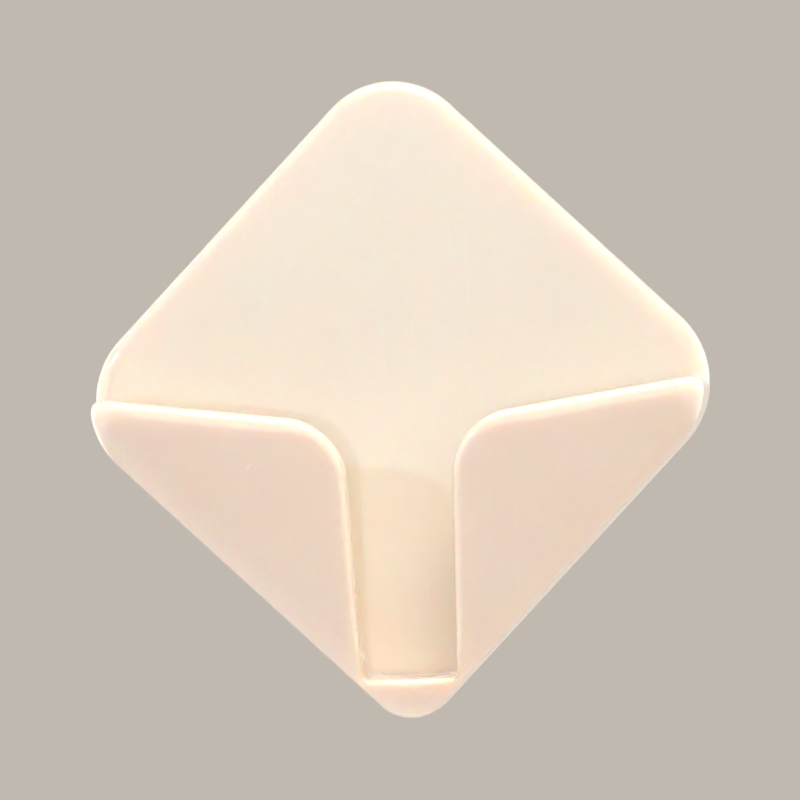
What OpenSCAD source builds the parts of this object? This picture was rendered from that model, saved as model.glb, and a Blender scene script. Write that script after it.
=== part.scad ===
// Self-adhesive wall hook: a square plate hung on its corner, with an
// open-topped pocket across its lower half. Two front flaps are joined to
// the plate by walls along the lower edges, and a slot between the flaps
// lets a cord, handle or loop drop in. A double-sided foam pad holds it.
//
// Frame: +Z up, +X to the right, the front faces -Y. The wall is the plane
// y = 0, and the origin is the centre of the pad's wall side.

/* [Plate] */
// Width of the square plate, across its flats
side = 45; // [42:0.5:52]
// Corner radius at the top corner
top_r = 7.7; // [6:0.1:9]
// Corner radius at the left and right corners
corner_r = 8.2; // [6:0.1:9]
// Corner radius at the bottom corner
tip_r = 4.2; // [3.6:0.1:5]
// Thickness of the plate
plate_t = 2; // [1.6:0.1:3]

/* [Pocket] */
// Depth from the back of the plate to the front of the flaps, at mid height
pocket_d = 13.9; // [12:0.1:18]
// Lean of the flaps, bottom edge towards the wall, in degrees
flap_lean = 8; // [1:0.2:10]
// Thickness of the side walls and of the flaps
wall_t = 2.1; // [1.6:0.1:2.4]
// Draft of the side walls, narrower towards the front, in degrees
wall_draft = 1.8; // [0:0.1:2]
// Outside rounding between the side walls and the flaps
front_r = 2.8; // [2.5:0.1:3.2]
// Height of the mouth's outer ends above mid height
mouth_z = 0.8; // [-1:0.05:1.5]
// Fall of the mouth's edge towards the slot, in degrees
mouth_fall = 7.8; // [2:0.2:12]

/* [Slot] */
// Width of the slot at its floor
slot_w = 8.6; // [7:0.1:9.2]
// Draft of each side of the slot, in degrees
slot_draft = 1.5; // [0.5:0.1:3]
// Radius where the flaps' mouth edge turns down into the slot
slot_r = 5.1; // [3:0.1:6]
// Height of the solid tip below the floor of the slot
tip_h = 3.9; // [3.4:0.1:4.5]

/* [Pad] */
// Margin between the edge of the plate and the edge of the pad
pad_inset = 3; // [2:0.1:5]
// Corner radius of the pad
pad_r = 4; // [2:0.1:6]
// Thickness of the foam
foam_t = 0.8; // [0.6:0.1:2]
// Thickness of each coat of adhesive
glue_t = 0.1; // [0.1:0.05:0.2]

/* [Hidden] */
$fn = 64;

// Depths from the wall, forwards
pad_t = foam_t + 2 * glue_t;
plate_front = pad_t + plate_t;

// Corner centres in the plane of the plate: right, top, left, bottom
reach = sqrt(2) * (side / 2 - corner_r);
top_reach = sqrt(2) * (side / 2 - top_r);
tip_reach = sqrt(2) * (side / 2 - tip_r);
corners = [[reach, 0, corner_r], [0, top_reach, top_r],
           [-reach, 0, corner_r], [0, -tip_reach, tip_r]];
half_w = reach + corner_r;
tip_z = -(tip_reach + tip_r);
floor_z = tip_z + tip_h;

// Mouth edge and slot side meet at the sharp corner K, then get rounded
m_t = tan(mouth_fall);
s_t = tan(slot_draft);
k_x = (slot_w / 2 - floor_z * s_t + s_t * (mouth_z - half_w * m_t)) / (1 - s_t * m_t);
k_z = mouth_z - (half_w - k_x) * m_t;
k_angle = 90 + mouth_fall + slot_draft;
along_mouth = [cos(mouth_fall), sin(mouth_fall)];
along_slot = [-sin(slot_draft), -cos(slot_draft)];
k = [k_x, k_z];
t_len = slot_r / tan(k_angle / 2);
t_mouth = k + t_len * along_mouth;
t_slot = k + t_len * along_slot;
mid = along_mouth + along_slot;
k_centre = k + slot_r / sin(k_angle / 2) * mid / norm(mid);
far = 60;

function flip(p) = [-p[0], p[1]];

// A closed square outline on its corner with rounded corners, d inside
// the outline whose corners are given
module outline(at, d = 0) {
    q = [for (c = at) c[2] - d];
    n = sqrt(0.5);
    polygon([
        [at[0][0] + n * q[0], at[0][1] - n * q[0]],
        [at[0][0] + n * q[0], at[0][1] + n * q[0]],
        [at[1][0] + n * q[1], at[1][1] + n * q[1]],
        [at[1][0] - n * q[1], at[1][1] + n * q[1]],
        [at[2][0] - n * q[2], at[2][1] + n * q[2]],
        [at[2][0] - n * q[2], at[2][1] - n * q[2]],
        [at[3][0] - n * q[3], at[3][1] - n * q[3]],
        [at[3][0] + n * q[3], at[3][1] - n * q[3]]]);
    for (i = [0 : 3]) translate([at[i][0], at[i][1]]) rotate(90 * i + 180) circle(q[i]);
}

// Stands an outline up facing the front, from depth y0 on, t thick
module slab(y0, t) {
    translate([0, -y0, 0]) rotate([90, 0, 0]) linear_extrude(t) children();
}

// Points around the plate's outline, d inside it, anticlockwise from the
// lower right, arc_n steps to each corner: [x, z]
arc_n = 10;
function ring(d) = [for (i = [0 : 3]) for (j = [0 : arc_n])
    let (a = 90 * i - 45 + 90 * j / arc_n)
    [corners[i][0] + (corners[i][2] - d) * cos(a),
     corners[i][1] + (corners[i][2] - d) * sin(a)]];

// Depth of the flaps' front plane at height z, from the wall
function front_at(z) = pad_t + pocket_d + z * tan(flap_lean);

// The whole hook as a block: upright walls from the back of the plate to a
// leaning front, with the edge between them rounded
module block() {
    n = 4 * (arc_n + 1);
    steps = 8;
    back = [for (q = ring(0)) [q[0], -pad_t, q[1]]];
    // the walls draw in by their draft up to where the rounding starts
    draw = [for (q = ring(0)) (front_at(q[1]) - front_r - pad_t) * tan(wall_draft)];
    round = [for (s = [0 : steps])
        let (a = 90 * s / steps)
        for (i = [0 : n - 1])
            let (q = ring(draw[i] + front_r * (1 - cos(a)))[i])
            [q[0], -(front_at(q[1]) - front_r * (1 - sin(a))), q[1]]];
    polyhedron(
        concat(back, round),
        concat(
            [[for (i = [0 : n - 1]) i]],
            [for (s = [0 : steps]) for (i = [0 : n - 1])
                let (j = (i + 1) % n)
                each [[s * n + i, (s + 1) * n + i, (s + 1) * n + j],
                      [s * n + i, (s + 1) * n + j, s * n + j]]],
            [[for (i = [n - 1 : -1 : 0]) (steps + 1) * n + i]]),
        convexity = 2);
}

// Room inside the pocket, from the plate to the back of the flaps. It ends
// inside the slot, just above the slot's floor
module room() {
    intersection() {
        slab(plate_front, far) outline(corners, wall_t);
        translate([0, -(pad_t + pocket_d - wall_t / cos(flap_lean)), 0])
            rotate([flap_lean, 0, 0]) translate([-far, 0, -far]) cube(2 * far);
        translate([-far, -far, floor_z + 0.6]) cube([2 * far, far, far]);
    }
}

// Everything above the mouth, and the slot down to its floor
module mouth_and_slot() {
    difference() {
        polygon([
            [-slot_w / 2, floor_z], [slot_w / 2, floor_z],
            t_slot, k_centre, t_mouth,
            [far, mouth_z + (far - half_w) * m_t], [far, far],
            [-far, far], [-far, mouth_z + (far - half_w) * m_t],
            flip(t_mouth), flip(k_centre), flip(t_slot)]);
        translate(k_centre) rotate(-45) circle(slot_r);
        translate(flip(k_centre)) rotate(-135) circle(slot_r);
    }
}

// One moulding: plate, side walls, flaps and the solid tip under the slot
module hook_body() {
    color([0.96, 0.90, 0.83])
    difference() {
        block();
        slab(plate_front, far) mouth_and_slot();
        room();
    }
}

pad_reach = sqrt(2) * (side / 2 - pad_inset - pad_r);
pad_corners = [[pad_reach, 0, pad_r], [0, pad_reach, pad_r],
               [-pad_reach, 0, pad_r], [0, -pad_reach, pad_r]];

// Coat of adhesive between the foam and the back of the plate
module plate_adhesive() {
    color([0.93, 0.90, 0.80]) slab(glue_t + foam_t, glue_t) outline(pad_corners);
}

// Closed-cell foam that takes up an uneven wall
module foam_pad() {
    color([0.97, 0.97, 0.95]) slab(glue_t, foam_t) outline(pad_corners);
}

// Coat of adhesive that meets the wall
module wall_adhesive() {
    color([0.93, 0.90, 0.80]) slab(0, glue_t) outline(pad_corners);
}

hook_body();
plate_adhesive();
foam_pad();
wall_adhesive();
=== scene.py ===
"""Self-adhesive wall hook: ivory moulding, foam pad and its two coats of adhesive."""
import math

import bpy
import numpy as np
from mathutils import Matrix


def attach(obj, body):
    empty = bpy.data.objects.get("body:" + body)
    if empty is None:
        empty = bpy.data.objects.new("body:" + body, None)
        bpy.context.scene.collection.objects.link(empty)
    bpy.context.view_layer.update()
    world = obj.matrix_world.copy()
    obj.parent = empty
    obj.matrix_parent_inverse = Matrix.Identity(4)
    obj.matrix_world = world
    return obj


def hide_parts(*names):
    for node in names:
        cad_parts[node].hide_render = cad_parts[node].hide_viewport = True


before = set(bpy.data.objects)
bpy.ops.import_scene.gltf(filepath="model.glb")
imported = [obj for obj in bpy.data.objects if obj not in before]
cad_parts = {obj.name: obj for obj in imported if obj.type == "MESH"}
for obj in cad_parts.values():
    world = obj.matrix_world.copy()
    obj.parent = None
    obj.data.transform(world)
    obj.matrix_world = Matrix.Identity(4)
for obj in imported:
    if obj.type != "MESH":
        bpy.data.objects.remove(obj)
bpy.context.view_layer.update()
scene = bpy.context.scene
MM = 0.001


# ---------------------------------------------------------------- camera

def add_camera():
    """Long lens, a little to the object's right and above it, rolled slightly."""
    yaw, pitch, roll = (math.radians(a) for a in (3.15, 1.29, 2.468))
    scale, dist = 10.85, 794.8          # pixels per mm at the plate, mm
    seen_at = (401.525, 391.401)        # where the plate's centre lands
    v = np.array([math.sin(yaw) * math.cos(pitch),
                  -math.cos(yaw) * math.cos(pitch), math.sin(pitch)])
    r = np.array([math.cos(yaw), math.sin(yaw), 0.0])
    u = np.array([-math.sin(yaw) * math.sin(pitch),
                  math.cos(yaw) * math.sin(pitch), math.cos(pitch)])
    right = r * math.cos(roll) - u * math.sin(roll)
    up = r * math.sin(roll) + u * math.cos(roll)
    target = np.array([0.0, -3.0, 0.0])
    place = (target + v * dist + right * (400 - seen_at[0]) / scale
             - up * (400 - seen_at[1]) / scale) * MM
    data = bpy.data.cameras.new("camera")
    data.sensor_fit = "HORIZONTAL"
    data.sensor_width = 36.0
    data.lens = 36.0 * dist / (800 / scale)
    data.clip_start, data.clip_end = 0.05, 20.0
    cam = bpy.data.objects.new("camera", data)
    m = Matrix.Identity(4)
    for i in range(3):
        m[i][0], m[i][1], m[i][2], m[i][3] = right[i], up[i], v[i], place[i]
    cam.matrix_world = m
    scene.collection.objects.link(cam)
    scene.camera = cam


add_camera()


# ---------------------------------------------------------------- hook shape
# Millimetres. a is the depth from the wall, forwards.

SIDE, TOP_R, CORNER_R, TIP_R = 45.0, 7.7, 8.2, 4.2
PAD_T, PLATE_T = 1.0, 2.0
POCKET_D, LEAN = 13.9, math.radians(8.0)
WALL_T, DRAFT, FRONT_R = 2.1, math.radians(1.8), 2.8
MOUTH_Z, FALL = 0.80, math.radians(7.8)
SLOT_W, SLOT_DRAFT, SLOT_R, TIP_H = 8.6, math.radians(1.5), 5.1, 3.9
PLATE_FRONT = PAD_T + PLATE_T
HALF_W = math.sqrt(2) * (SIDE / 2 - CORNER_R) + CORNER_R
TIP_Z = -(math.sqrt(2) * (SIDE / 2 - TIP_R) + TIP_R)
FLOOR_Z = TIP_Z + TIP_H


def both(p, q, r):
    """Where both hold, with the outer edge rounded to r."""
    u, v = np.maximum(p + r, 0), np.maximum(q + r, 0)
    return np.minimum(np.maximum(p, q), -r) + np.sqrt(u * u + v * v)


def either(p, q, r):
    """Where either holds, with the inner corner filled to r."""
    u, v = np.maximum(r - p, 0), np.maximum(r - q, 0)
    return np.maximum(np.minimum(p, q), r) - np.sqrt(u * u + v * v)


def eased(p, q, r):
    """Where both hold, with the outer edge rounded to about r and run out softly."""
    k = 1.757 * r
    h = np.maximum(k - np.abs(p - q), 0) / k
    return np.maximum(p, q) + h * h * h * k / 6


def smooth_step(lo, hi, x):
    t = np.clip((x - lo) / (hi - lo), 0, 1)
    return t * t * (3 - 2 * t)


def outline(x, z):
    """Distance from a square that stands on its corner."""
    u, v = (x + z) / math.sqrt(2), (z - x) / math.sqrt(2)
    r = np.where((u < 0) & (v < 0), TIP_R, np.where((u > 0) & (v > 0), TOP_R, CORNER_R))
    p, q = np.abs(u) - SIDE / 2 + r, np.abs(v) - SIDE / 2 + r
    return (np.minimum(np.maximum(p, q), 0)
            + np.hypot(np.maximum(p, 0), np.maximum(q, 0)) - r)


def hook(x, a, z):
    """Signed distance from the moulding's skin, negative inside."""
    d = outline(x, z)
    wall = (d + math.tan(DRAFT) * (a - PAD_T)) * math.cos(DRAFT)
    # the flaps are slightly crowned, falling towards their outer edges
    crown = 0.5 * np.clip((d + 10) / 10, 0, 1) ** 2
    front = (a - (PAD_T + POCKET_D + z * math.tan(LEAN) - crown)) * math.cos(LEAN)
    outer = both(wall, front, FRONT_R)
    # the pocket's room, and the cut of the mouth, the slot and its floor
    room = both(both(d + WALL_T, front + WALL_T, 0.8), FLOOR_Z - z, 0.5)
    # the walls' upper edges fall a little from the flaps to the plate
    fall = 0.5 * np.clip((13 - a) / 10, 0, 1)
    mouth = (z + fall - (MOUTH_Z - (HALF_W - np.abs(x)) * math.tan(FALL))) * math.cos(FALL)
    slot = ((SLOT_W / 2 + (z - FLOOR_Z) * math.tan(SLOT_DRAFT)) - np.abs(x)) * math.cos(SLOT_DRAFT)
    keep = either(both(mouth, slot, SLOT_R), z - FLOOR_Z, 0.6)
    flaps = both(keep, -room, 0.6)
    low = smooth_step(13, 7, np.abs(x)) * smooth_step(0, -4, z) * smooth_step(4, 6, a)
    # inner corner at the plate: finer at the ends of the mouth and at the slot's floor
    fillet = (0.7 - 0.4 * smooth_step(22, 25, np.abs(x))
              - 0.45 * smooth_step(-22, -25, z) * smooth_step(7, 5, np.abs(x)))
    inner = either(a - PLATE_FRONT, flaps, fillet)
    # outer edges: fullest at the rim and the mouth, finer at the slot and its floor
    edge = (1.25 + 0.10 * smooth_step(4, 6, a) * (1 - low) - 0.25 * low
            - 0.30 * low * smooth_step(-21, -26, z))
    return both(eased(outer, inner, edge), PAD_T - a, 0.3)


def slope(field, p, e=0.01):
    """Gradient of a field at points p."""
    g = np.empty_like(p)
    for i in range(3):
        q = p.copy(); q[:, i] += e
        s = p.copy(); s[:, i] -= e
        g[:, i] = (field(*q.T) - field(*s.T)) / (2 * e)
    return g


def skin(field, low, high, h):
    """Quads over field = 0, one vertex to each cell that the skin crosses."""
    axes = [np.arange(l, t + h, h) for l, t in zip(low, high)]
    f = field(axes[0][:, None, None], axes[1][None, :, None], axes[2][None, None, :])
    inside = f < 0
    count = np.zeros([n - 1 for n in f.shape], np.int8)
    for i in (0, 1):
        for j in (0, 1):
            for k in (0, 1):
                count += inside[i:i + count.shape[0], j:j + count.shape[1], k:k + count.shape[2]]
    cells = (count > 0) & (count < 8)
    number = np.full(cells.shape, -1, np.int64)
    number[cells] = np.arange(int(cells.sum()))
    at = np.argwhere(cells)
    total, hits = np.zeros(at.shape), np.zeros(len(at))
    for axis in range(3):
        step = np.eye(3, dtype=int)[axis]
        others = [b for b in range(3) if b != axis]
        for i in (0, 1):
            for j in (0, 1):
                c = at.copy()
                c[:, others[0]] += i
                c[:, others[1]] += j
                n = c + step
                fa, fb = f[tuple(c.T)], f[tuple(n.T)]
                cross = (fa < 0) != (fb < 0)
                t = fa[cross] / (fa[cross] - fb[cross])
                total[cross] += c[cross] + t[:, None] * step
                hits[cross] += 1
    verts = np.array(low) + total / hits[:, None] * h
    quads = []
    for axis in range(3):
        b, c = (axis + 1) % 3, (axis + 2) % 3
        lo = [slice(None)] * 3; lo[axis] = slice(0, -1)
        hi = [slice(None)] * 3; hi[axis] = slice(1, None)
        cut = inside[tuple(lo)] != inside[tuple(hi)]
        e = np.argwhere(cut)
        e = e[(e[:, b] > 0) & (e[:, c] > 0)
              & (e[:, b] < cells.shape[b]) & (e[:, c] < cells.shape[c])]
        out = inside[tuple(lo)][tuple(e.T)]
        ring = []
        for i, j in ((-1, -1), (0, -1), (0, 0), (-1, 0)):
            n = e.copy(); n[:, b] += i; n[:, c] += j
            ring.append(number[tuple(n.T)])
        q = np.stack(ring, 1)
        q[~out] = q[~out][:, ::-1]
        quads.append(q)
    return verts, np.concatenate(quads)


def settle(field, verts, quads, rounds=5):
    """Evens out the vertices along the skin and puts them exactly on it."""
    pairs = np.unique(np.sort(np.concatenate(
        [quads[:, [i, (i + 1) % 4]] for i in range(4)]), axis=1), axis=0)
    n = len(verts)
    degree = np.bincount(pairs.ravel(), minlength=n)

    def onto(p):
        for _ in range(2):
            g = slope(field, p)
            p = p - (field(*p.T) / np.maximum((g * g).sum(1), 1e-6))[:, None] * g
        return p

    verts = onto(verts)
    for _ in range(rounds):
        mean = np.stack([np.bincount(pairs[:, 0], verts[pairs[:, 1], i], n)
                         + np.bincount(pairs[:, 1], verts[pairs[:, 0], i], n)
                         for i in range(3)], 1) / degree[:, None]
        g = slope(field, verts)
        g /= np.maximum(np.linalg.norm(g, axis=1), 1e-6)[:, None]
        move = 0.5 * (mean - verts)
        verts = onto(verts + move - (move * g).sum(1)[:, None] * g)
    g = slope(field, verts)
    return verts, g / np.maximum(np.linalg.norm(g, axis=1), 1e-6)[:, None]


def to_row(p):
    """(x, depth, z) in mm to the row frame in metres."""
    return np.stack([p[:, 0], -p[:, 1], p[:, 2]], 1) * MM


def add_mesh(name, verts, faces, normals=None):
    mesh = bpy.data.meshes.new(name)
    mesh.from_pydata(verts.tolist(), [], [list(map(int, f)) for f in faces])
    mesh.update()
    mesh.shade_smooth()
    if normals is not None:
        mesh.normals_split_custom_set_from_vertices(normals.tolist())
    obj = bpy.data.objects.new(name, mesh)
    scene.collection.objects.link(obj)
    return obj


def bending(verts, normal, quads):
    """How sharply the skin bends at each vertex, per mm: outer edges above 0."""
    pairs = np.unique(np.sort(np.concatenate(
        [quads[:, [i, (i + 1) % 4]] for i in range(4)]), axis=1), axis=0)
    i, j = pairs.T
    way = verts[j] - verts[i]
    d2 = np.maximum((way * way).sum(1), 1e-9)
    n = len(verts)
    total = (np.bincount(i, -2 * (way * normal[i]).sum(1) / d2, n)
             + np.bincount(j, 2 * (way * normal[j]).sum(1) / d2, n))
    degree = np.maximum(np.bincount(pairs.ravel(), minlength=n), 1)
    value = total / degree
    for _ in range(2):
        value = 0.5 * value + 0.5 * (np.bincount(i, value[j], n) + np.bincount(j, value[i], n)) / degree
    return value


def add_hook():
    verts, quads = skin(hook, (-29.3, 0.5, -30.7), (29.3, 15.7, 29.3), 0.30)
    verts, normal = settle(hook, verts, quads)
    # The depth runs against y, so the faces turn over.
    obj = add_mesh("hook_moulding", to_row(verts), quads[:, ::-1],
                   np.stack([normal[:, 0], -normal[:, 1], normal[:, 2]], 1))
    bend = bending(verts, normal, quads)
    for name, value in (("edge", bend), ("nook", -bend)):
        layer = obj.data.attributes.new(name, "FLOAT", "POINT")
        layer.data.foreach_set("value", np.clip(value / 0.45, 0, 1).astype(np.float32))
    return obj


# ---------------------------------------------------------------- pad

PAD_SIDE, PAD_R, GLUE_T, FOAM_T = SIDE - 6.0, 4.0, 0.1, 0.8


def pad_outline(n, inset=0.0):
    """n points around the pad, evenly spaced, with their outward normals."""
    half, r = PAD_SIDE / 2, PAD_R
    pts, nrm = [], []
    for i in range(4):
        a0 = 90 * i - 45
        cx = math.sqrt(2) * (half - r) * math.cos(math.radians(90 * i))
        cz = math.sqrt(2) * (half - r) * math.sin(math.radians(90 * i))
        for j in range(25):
            a = math.radians(a0 + 90 * j / 24)
            pts.append((cx + r * math.cos(a), cz + r * math.sin(a)))
            nrm.append((math.cos(a), math.sin(a)))
    pts, nrm = np.array(pts), np.array(nrm)
    loop = np.vstack([pts, pts[:1]])
    way = np.concatenate([[0], np.cumsum(np.hypot(*np.diff(loop, axis=0).T))])
    s = np.linspace(0, way[-1], n, endpoint=False)
    nl = np.vstack([nrm, nrm[:1]])
    p = np.stack([np.interp(s, way, loop[:, i]) for i in (0, 1)], 1)
    m = np.stack([np.interp(s, way, nl[:, i]) for i in (0, 1)], 1)
    m /= np.linalg.norm(m, axis=1)[:, None]
    return p - inset * m, m


def waves(seed, s, count, lowest, highest):
    """Sum of seeded sine waves around a closed loop, s from 0 to 1, about -1 to 1."""
    rng = np.random.default_rng(seed)
    k = rng.integers(lowest, highest, count)
    ph = rng.uniform(0, 2 * math.pi, count)
    w = rng.uniform(0.4, 1.0, count)
    return (w[:, None] * np.sin(2 * math.pi * k[:, None] * s[None] + ph[:, None])).sum(0) / w.sum() * 1.6


def slab(name, rows, n, rings, back_bumps=None):
    """A closed flat piece: side rows of (depth, inset array) from the wall outwards,
    and both ends filled with rings that shrink towards the middle."""
    verts, faces = [], []

    def ring_of(depth, inset, k=1.0):
        p, m = pad_outline(n)
        p = (p - inset[:, None] * m) * k
        d = depth if np.ndim(depth) else np.full(n, depth)
        return np.stack([p[:, 0], d, p[:, 1]], 1)

    def join(a0, b0):
        for i in range(n):
            j = (i + 1) % n
            faces.append((a0 + i, a0 + j, b0 + j, b0 + i))

    scales = np.cos(np.linspace(0, math.pi / 2, rings + 1))[1:-1]
    d0, i0 = rows[0]
    d1, i1 = rows[-1]
    stack = [ring_of(d0, i0, k) for k in scales[::-1]]
    stack += [ring_of(d, i) for d, i in rows]
    stack += [ring_of(d1, i1, k) for k in scales]
    if back_bumps is not None:
        for r in stack[:len(scales)]:
            r[:, 1] += back_bumps(r[:, 0], r[:, 2])
    for i, r in enumerate(stack):
        verts.append(r)
        if i:
            join((i - 1) * n, i * n)
    v = np.concatenate(verts)
    mid0, mid1 = len(v), len(v) + 1
    v = np.vstack([v, [[0, stack[0][:, 1].mean(), 0], [0, stack[-1][:, 1].mean(), 0]]])
    last = (len(stack) - 1) * n
    for i in range(n):
        j = (i + 1) % n
        faces.append((mid0, j, i))
        faces.append((mid1, last + i, last + j))
    return add_mesh(name, to_row(v), [f[::-1] for f in faces])


def add_foam():
    """Die-cut foam: its cut side is slightly hollow and torn open cell by cell."""
    n, rows = 900, []
    s = np.arange(n) / n
    for i in range(9):
        t = i / 8
        hollow = 0.10 * math.sin(math.pi * t)
        cells = 0.05 * (1 + waves(11 + i, s, 30, 60, 260)) * math.sin(math.pi * (0.08 + 0.84 * t))
        drift = 0.04 * (1 + waves(5, s, 8, 2, 14))
        rows.append((GLUE_T + FOAM_T * t, hollow + cells + drift))
    return slab("foam_core", rows, n, 10)


def add_film():
    """The coat of adhesive on the wall side, with a soft unevenness."""
    n = 720
    s = np.arange(n) / n
    drift = 0.05 * (1 + waves(23, s, 10, 2, 40))
    rows = [(0.012, drift + 0.03), (0.03, drift), (0.08, drift), (GLUE_T, drift + 0.01)]

    def bumps(x, z):
        return 0.006 * (np.sin(0.9 * x + 0.4 * z) * np.sin(0.7 * z - 0.3 * x) + 1)
    return slab("wall_side_film", rows, n, 40, bumps)


# ---------------------------------------------------------------- materials

class Nodes:
    """Short hand for building a material's node tree."""

    def __init__(self, name):
        self.mat = bpy.data.materials.new(name)
        self.mat.use_nodes = True
        self.tree = self.mat.node_tree
        self.bsdf = next(n for n in self.tree.nodes if n.type == "BSDF_PRINCIPLED")
        self.coords = self.tree.nodes.new("ShaderNodeTexCoord").outputs["Object"]

    def link(self, a, b):
        self.tree.links.new(a, b)

    def make(self, kind, **values):
        n = self.tree.nodes.new(kind)
        for key, val in values.items():
            setattr(n, key, val)
        return n

    def noise(self, scale, detail=4.0, rough=0.55, vector=None):
        n = self.make("ShaderNodeTexNoise")
        n.inputs["Scale"].default_value = scale
        n.inputs["Detail"].default_value = detail
        n.inputs["Roughness"].default_value = rough
        self.link(vector or self.coords, n.inputs["Vector"])
        return n.outputs["Fac"]

    def span(self, value, lo, hi, to_lo=0.0, to_hi=1.0):
        n = self.make("ShaderNodeMapRange")
        n.clamp = True
        for key, val in (("From Min", lo), ("From Max", hi), ("To Min", to_lo), ("To Max", to_hi)):
            n.inputs[key].default_value = val
        self.link(value, n.inputs["Value"])
        return n.outputs["Result"]

    def math(self, op, a, b=None):
        n = self.make("ShaderNodeMath", operation=op)
        for i, v in enumerate((a, b)):
            if v is None:
                continue
            if isinstance(v, (int, float)):
                n.inputs[i].default_value = v
            else:
                self.link(v, n.inputs[i])
        return n.outputs["Value"]

    def blend(self, fac, a, b):
        n = self.make("ShaderNodeMix", data_type="RGBA")
        if isinstance(fac, (int, float)):
            n.inputs["Factor"].default_value = fac
        else:
            self.link(fac, n.inputs["Factor"])
        for key, v in (("A", a), ("B", b)):
            s = [i for i in n.inputs if i.name == key and i.type == "RGBA"][0]
            if isinstance(v, tuple):
                s.default_value = (*v, 1.0)
            else:
                self.link(v, s)
        return [o for o in n.outputs if o.type == "RGBA"][0]

    def value(self, name):
        return self.make("ShaderNodeAttribute", attribute_name=name).outputs["Fac"]

    def stretched(self, turn, size):
        """Coordinates turned and stretched, for streaks."""
        n = self.make("ShaderNodeMapping")
        n.inputs["Rotation"].default_value = turn
        n.inputs["Scale"].default_value = size
        self.link(self.coords, n.inputs["Vector"])
        return n.outputs["Vector"]

    def scuff(self, start, end, width):
        """1 on a short line across the front, given by its ends (x, z)."""
        sep = self.make("ShaderNodeSeparateXYZ")
        self.link(self.coords, sep.inputs["Vector"])
        dx, dz = end[0] - start[0], end[1] - start[1]
        long = math.hypot(dx, dz)
        px = self.math("SUBTRACT", sep.outputs["X"], start[0])
        pz = self.math("SUBTRACT", sep.outputs["Z"], start[1])
        along = self.math("ADD", self.math("MULTIPLY", px, dx / long),
                          self.math("MULTIPLY", pz, dz / long))
        across = self.math("ABSOLUTE", self.math("SUBTRACT", self.math("MULTIPLY", px, dz / long),
                                                 self.math("MULTIPLY", pz, dx / long)))
        line = self.math("MULTIPLY", self.span(across, 0.4 * width, width, 1.0, 0.0),
                         self.math("MULTIPLY", self.span(along, 0.0, 0.3 * long),
                                   self.span(along, 0.7 * long, long, 1.0, 0.0)))
        return self.math("MULTIPLY", line, self.span(sep.outputs["Y"], -0.0115, -0.011, 1.0, 0.0))

    def bump(self, height, strength, distance, under=None):
        n = self.make("ShaderNodeBump")
        n.inputs["Strength"].default_value = strength
        n.inputs["Distance"].default_value = distance
        self.link(height, n.inputs["Height"])
        if under is not None:
            self.link(under, n.inputs["Normal"])
        return n.outputs["Normal"]


def ivory_plastic():
    """Ivory moulding: faint clouds and flow streaks, polished edges, fine wear."""
    m = Nodes("ivory_plastic")
    b = m.bsdf
    cloud = m.span(m.noise(90.0, 3.0), 0.35, 0.65)
    speck = m.span(m.noise(900.0, 2.0), 0.45, 0.75)
    base = m.blend(cloud, (0.782, 0.670, 0.542), (0.794, 0.685, 0.560))
    base = m.blend(m.math("MULTIPLY", speck, 0.06), base, (0.77, 0.63, 0.49))
    # streaks where the plastic flowed up from the tip
    flow = m.span(m.noise(1.0, 3.0, 0.6, m.stretched((0, 0, 0), (420, 420, 38))), 0.40, 0.66)
    base = m.blend(m.math("MULTIPLY", flow, 0.10), base, (0.80, 0.70, 0.58))
    # a trace of dust in the inner corners, paler polished outer edges
    nook = m.math("MULTIPLY", m.value("nook"), m.span(m.noise(350.0, 4.0), 0.3, 0.6, 0.02, 0.10))
    base = m.blend(nook, base, (0.60, 0.50, 0.38))
    base = m.blend(m.math("MULTIPLY", m.value("edge"), 0.10), base, (0.82, 0.73, 0.62))
    # hairline scratches in two directions, and one short scuff on a flap
    hair = [m.span(m.noise(1.0, 2.0, 0.5, m.stretched(turn, size)), 0.705, 0.735)
            for turn, size in (((0.2, 0.5, 0.3), (2600, 60, 60)), ((0.1, -0.9, 0.2), (3100, 50, 50)))]
    hair = m.math("MAXIMUM", *hair)
    scuff = m.scuff((-0.0141, -0.0066), (-0.0132, -0.0056), 0.00010)
    worn = m.math("MAXIMUM", m.math("MULTIPLY", hair, 0.30), m.math("MULTIPLY", scuff, 0.75))
    base = m.blend(m.math("MULTIPLY", worn, 0.5), base, (0.88, 0.81, 0.72))
    m.link(base, b.inputs["Base Color"])
    rough = m.span(m.noise(160.0, 5.0), 0.3, 0.7, 0.08, 0.13)
    rough = m.math("ADD", rough, m.math("MULTIPLY", worn, 0.25))
    m.link(m.math("ADD", rough, m.math("MULTIPLY", nook, 0.5)), b.inputs["Roughness"])
    b.inputs["IOR"].default_value = 1.5
    b.inputs["Subsurface Weight"].default_value = 1.0
    b.inputs["Subsurface Radius"].default_value = (1.0, 0.45, 0.20)
    b.inputs["Subsurface Scale"].default_value = 0.0028
    peel = m.bump(m.noise(700.0, 3.0), 0.06, 0.00003)
    peel = m.bump(m.noise(60.0, 2.0), 0.06, 0.0002, peel)
    m.link(m.bump(m.math("SUBTRACT", 1.0, worn), 0.10, 0.00002, peel), b.inputs["Normal"])
    return m.mat


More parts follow.
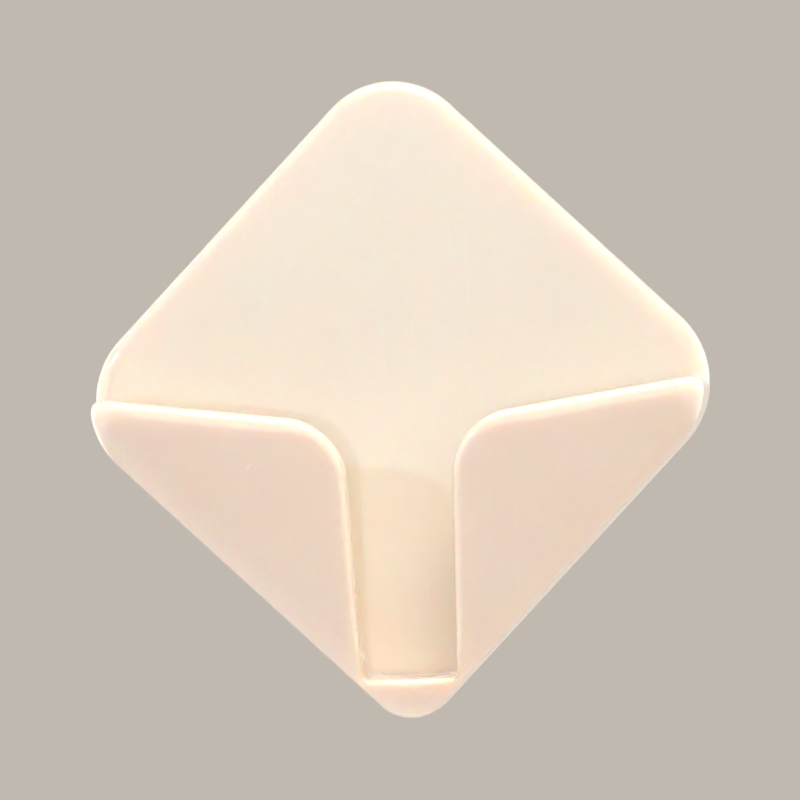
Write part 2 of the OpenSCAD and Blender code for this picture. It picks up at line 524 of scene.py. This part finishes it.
def foam_white():
    m = Nodes("foam_white")
    b = m.bsdf
    v = m.make("ShaderNodeTexVoronoi")
    v.inputs["Scale"].default_value = 4200.0
    m.link(m.coords, v.inputs["Vector"])
    wall = m.span(v.outputs["Distance"], 0.15, 0.6)
    tone = m.blend(m.noise(220.0, 4.0), (0.80, 0.79, 0.75), (0.88, 0.875, 0.84))
    m.link(m.blend(m.math("MULTIPLY", wall, 0.25), tone, (0.66, 0.64, 0.58)), b.inputs["Base Color"])
    m.link(m.span(wall, 0.0, 1.0, 0.7, 0.95), b.inputs["Roughness"])
    b.inputs["Subsurface Weight"].default_value = 0.3
    b.inputs["Subsurface Radius"].default_value = (1.0, 0.9, 0.8)
    b.inputs["Subsurface Scale"].default_value = 0.0006
    m.link(m.bump(m.math("SUBTRACT", 1.0, wall), 0.7, 0.00012), b.inputs["Normal"])
    return m.mat


def tacky_film():
    m = Nodes("tacky_film")
    b = m.bsdf
    v = m.make("ShaderNodeTexVoronoi")
    v.inputs["Scale"].default_value = 2600.0
    m.link(m.coords, v.inputs["Vector"])
    cell = m.span(v.outputs["Distance"], 0.1, 0.6)
    cloud = m.span(m.noise(120.0, 5.0), 0.35, 0.65)
    base = m.blend(cloud, (0.80, 0.77, 0.66), (0.86, 0.84, 0.75))
    m.link(m.blend(m.math("MULTIPLY", cell, 0.22), base, (0.70, 0.66, 0.53)), b.inputs["Base Color"])
    m.link(m.span(m.noise(300.0, 4.0), 0.3, 0.7, 0.14, 0.34), b.inputs["Roughness"])
    b.inputs["IOR"].default_value = 1.47
    low = m.bump(m.noise(180.0, 3.0), 0.35, 0.0002)
    m.link(m.bump(cell, 0.12, 0.00006, low), b.inputs["Normal"])
    return m.mat


# ---------------------------------------------------------------- pieces

plastic, foam_mat, film_mat = ivory_plastic(), foam_white(), tacky_film()

hook_obj = add_hook()
hook_obj.data.materials.append(plastic)
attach(hook_obj, "root")
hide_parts("hook_body")

foam_obj = add_foam()
foam_obj.data.materials.append(foam_mat)
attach(foam_obj, "root")
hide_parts("foam_pad")

film_obj = add_film()
film_obj.data.materials.append(film_mat)
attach(film_obj, "root")
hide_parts("wall_adhesive")

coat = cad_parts["plate_adhesive"]
if not coat.material_slots:
    coat.data.materials.append(film_mat)
for s in coat.material_slots:
    s.material = film_mat


# ---------------------------------------------------------------- stage and light

def add_floor():
    bpy.ops.mesh.primitive_plane_add(size=5.0, location=(0, 0, -0.6))
    floor = bpy.context.object
    floor.name = "floor"
    m = Nodes("floor_paper")
    m.link(m.blend(m.noise(3.0, 2.0), (0.60, 0.56, 0.51), (0.64, 0.60, 0.55)), m.bsdf.inputs["Base Color"])
    m.bsdf.inputs["Roughness"].default_value = 0.9
    # painted reflection: the floor glows, seen only in the plastic's gloss, brightest near the object and
    # far out to the sides
    m.bsdf.inputs["Emission Color"].default_value = (1.0, 0.95, 0.89, 1)
    gloss = m.make("ShaderNodeLightPath").outputs["Is Glossy Ray"]
    far = m.make("ShaderNodeVectorMath", operation="LENGTH")
    m.link(m.coords, far.inputs[0])
    at = m.make("ShaderNodeSeparateXYZ")
    m.link(m.coords, at.inputs["Vector"])
    wide = m.span(m.math("ABSOLUTE", at.outputs["X"]), 0.6, 1.3, 0.0, 2.8)
    glow = m.math("MAXIMUM", m.span(far.outputs["Value"], 0.4, 1.1, 1.7, 0.75), wide)
    m.link(m.math("MULTIPLY", gloss, glow), m.bsdf.inputs["Emission Strength"])
    floor.data.materials.append(m.mat)


def add_area(name, azimuth, elevation, dist, size, power, colour=(1, 1, 1), aim=(0, -0.008, 0)):
    """A soft box. Azimuth 0 is straight in front, 90 the object's right."""
    az, el = math.radians(azimuth), math.radians(elevation)
    data = bpy.data.lights.new(name, "AREA")
    data.shape = "RECTANGLE"
    data.size, data.size_y = size
    data.energy, data.color = power, colour
    obj = bpy.data.objects.new(name, data)
    back = np.array([math.sin(az) * math.cos(el), -math.cos(az) * math.cos(el), math.sin(el)])
    up = np.array([0, 0, 1.0]) if abs(elevation) < 85 else np.array([0, 1.0, 0])
    right = np.cross(up, back); right /= np.linalg.norm(right)
    up = np.cross(back, right)
    m = Matrix.Identity(4)
    for i in range(3):
        m[i][0], m[i][1], m[i][2], m[i][3] = right[i], up[i], back[i], aim[i] + back[i] * dist
    obj.matrix_world = m
    obj.visible_camera = False
    scene.collection.objects.link(obj)
    return obj


def add_world():
    """A pale plain backdrop all round, which itself gives only a little light; the plastic's gloss sees a
    painted reflection, brightest low to the sides.
    """
    world = bpy.data.worlds.new("studio")
    world.use_nodes = True
    t = world.node_tree
    bg = next(n for n in t.nodes if n.type == "BACKGROUND")
    end = next(n for n in t.nodes if n.type == "OUTPUT_WORLD")
    bg.inputs["Color"].default_value = (0.55, 0.52, 0.48, 1)
    bg.inputs["Strength"].default_value = 0.06
    path = t.nodes.new("ShaderNodeLightPath")
    last = bg

    def node(kind, operation=None, **inputs):
        n = t.nodes.new(kind)
        if operation:
            n.operation = operation
        for key, value in inputs.items():
            slot = n.inputs[int(key[1:])]
            if isinstance(value, (int, float)):
                slot.default_value = value
            else:
                t.links.new(value, slot)
        return n

    # how far a direction points to a side, low down: 1 straight left or right
    way = node("ShaderNodeSeparateXYZ", _0=node("ShaderNodeTexCoord").outputs["Generated"])
    side = node("ShaderNodeMapRange", _0=node("ShaderNodeMath", "ABSOLUTE", _0=way.outputs[0]).outputs[0],
                _1=0.30, _2=0.75, _3=1.0, _4=5.2)
    flat = node("ShaderNodeMapRange", _0=way.outputs[2], _1=0.2, _2=0.5, _3=1.0, _4=0.0)
    wide = node("ShaderNodeMath", "POWER", _0=side.outputs[0], _1=flat.outputs[0])
    # painted reflection: a bright whitish backdrop seen only in the plastic's gloss, strongest to the
    # sides; the camera sees a deeper tone straight behind the object
    for ray, colour in (("Is Glossy Ray", (0.80, 0.74, 0.67)),
                        ("Is Camera Ray", (0.53, 0.485, 0.435))):
        seen = t.nodes.new("ShaderNodeBackground")
        seen.inputs["Color"].default_value = (*colour, 1)
        if ray == "Is Glossy Ray":
            t.links.new(wide.outputs[0], seen.inputs["Strength"])
        mix = t.nodes.new("ShaderNodeMixShader")
        t.links.new(path.outputs[ray], mix.inputs[0])
        t.links.new(last.outputs[0], mix.inputs[1])
        t.links.new(seen.outputs[0], mix.inputs[2])
        last = mix
    t.links.new(last.outputs[0], end.inputs["Surface"])
    scene.world = world


add_floor()
add_world()
add_area("front", 4, 11, 1.1, (1.0, 0.75), 0.95)
add_area("front_low", 3, 4, 1.1, (0.5, 0.4), 1.15)
add_area("fill_right", 22, 6, 1.1, (0.35, 0.5), 0.8)
add_area("key", 30, 55, 1.0, (0.5, 0.5), 5.2)
add_area("top", 8, 64, 1.0, (1.0, 0.5), 4.2)
add_area("overhead", 0, 85, 1.0, (0.8, 0.4), 3.4)
add_area("left", -72, 36, 1.0, (0.6, 0.8), 1.4)
add_area("right", 72, 40, 1.0, (0.6, 0.8), 3.5)
add_area("side_left", -85, 0, 0.9, (0.6, 0.8), 1.5)
add_area("side_right", 85, 0, 0.9, (0.6, 0.8), 0.6)
add_area("back_left", -120, 15, 1.0, (0.6, 0.8), 1.5)
add_area("back_right", 120, 15, 1.0, (0.6, 0.8), 3.0)
add_area("below", 0, -80, 0.5, (0.8, 0.6), 1.0)
add_area("low_right", 80, -30, 0.8, (0.5, 0.5), 0.3)
add_area("low_left", -80, -30, 0.8, (0.5, 0.5), 0.3)
add_area("lamp", -45, 20.9, 1.0, (0.05, 0.05), 4.0, (0.38, 0.54, 0.78))
scene.view_settings.view_transform = "Standard"
